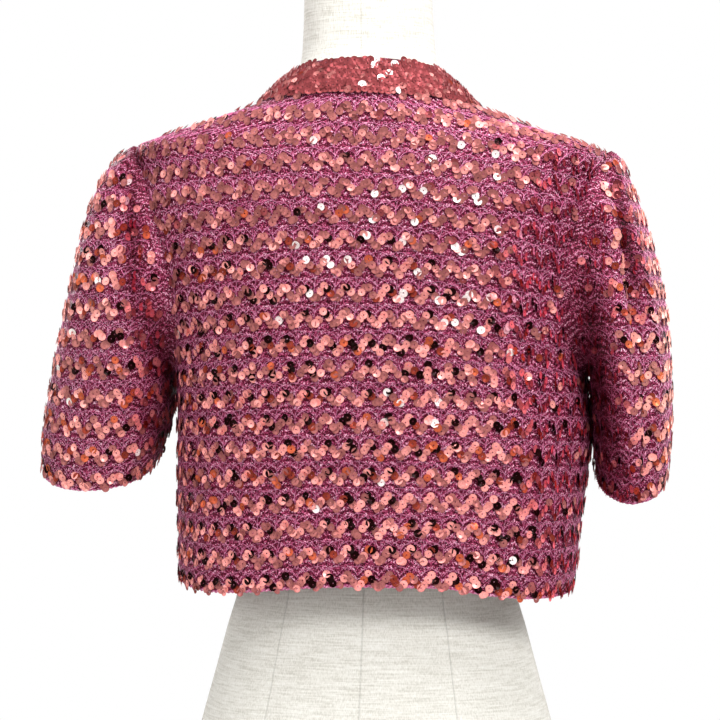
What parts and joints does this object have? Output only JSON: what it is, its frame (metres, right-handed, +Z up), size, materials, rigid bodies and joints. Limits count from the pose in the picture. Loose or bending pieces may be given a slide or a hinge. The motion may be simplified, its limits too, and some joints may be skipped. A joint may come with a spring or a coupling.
{
  "type": "short-sleeved cropped jacket on a limbless dress form",
  "caption": "Cropped knitted jacket with short puffed set-in sleeves and a neckband, hollow and open in front, worn by a limbless dress form.",
  "frame": {"origin": "middle of the form's flat foot, on the surface it stands on", "axes": "+Z up, -Y the way the wearer faces, +X the wearer's left"},
  "size_m": [0.5304, 0.2467, 0.724],
  "materials": {
    "linen": "heathered off-white linen weave, matte",
    "metallic_knit": "pink metallic knit with zigzag rows of rose sequins",
    "sequinned_band": "overlapping rose-brown sequins, glossy"
  },
  "bodies": {
    "root": {"dress_form": "linen", "back_panel": "metallic_knit", "left_front": "metallic_knit", "right_front": "metallic_knit", "left_sleeve": "metallic_knit", "right_sleeve": "metallic_knit", "back_neck_band": "sequinned_band", "left_front_band": "sequinned_band", "right_front_band": "sequinned_band"}
  },
  "joints": []
}
